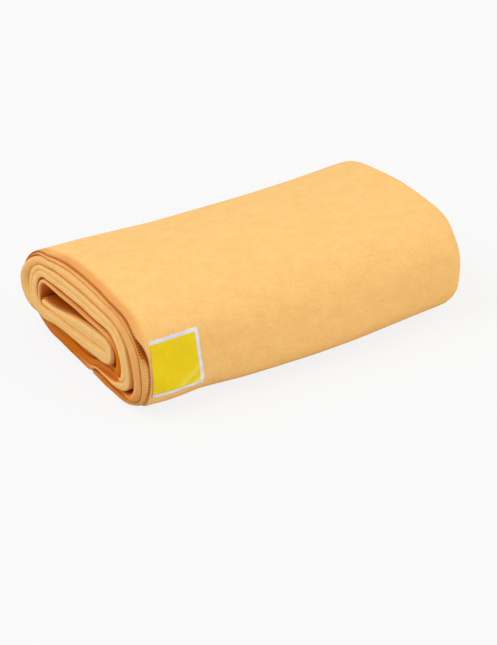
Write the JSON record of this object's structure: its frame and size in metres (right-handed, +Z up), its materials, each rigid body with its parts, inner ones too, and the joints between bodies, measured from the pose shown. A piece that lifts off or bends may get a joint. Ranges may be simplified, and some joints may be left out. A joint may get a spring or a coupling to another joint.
{
  "type": "microfiber drying towel",
  "caption": "Soft pile drying towel with overlocked edges and a square woven label, folded in four and rolled flat.",
  "frame": {"origin": "under the middle of the rolled towel, on the surface that it lies on", "axes": "+X along the roll towards the end with the rounded folds, +Y from the labelled front to the back, +Z up through the roll's thickness"},
  "size_m": [0.2268, 0.1312, 0.0599],
  "materials": {
    "cloth": "soft matte pile",
    "seam_thread": "matte overlock thread",
    "label_ribbon": "white woven satin",
    "label_panel": "yellow woven satin"
  },
  "bodies": {
    "root": {"towel_cloth": "cloth", "seam_outer_side": "seam_thread", "seam_inner_side": "seam_thread", "seam_start_end": "seam_thread", "seam_free_end": "seam_thread", "label_ribbon": "label_ribbon", "label_panel": "label_panel"}
  },
  "joints": []
}
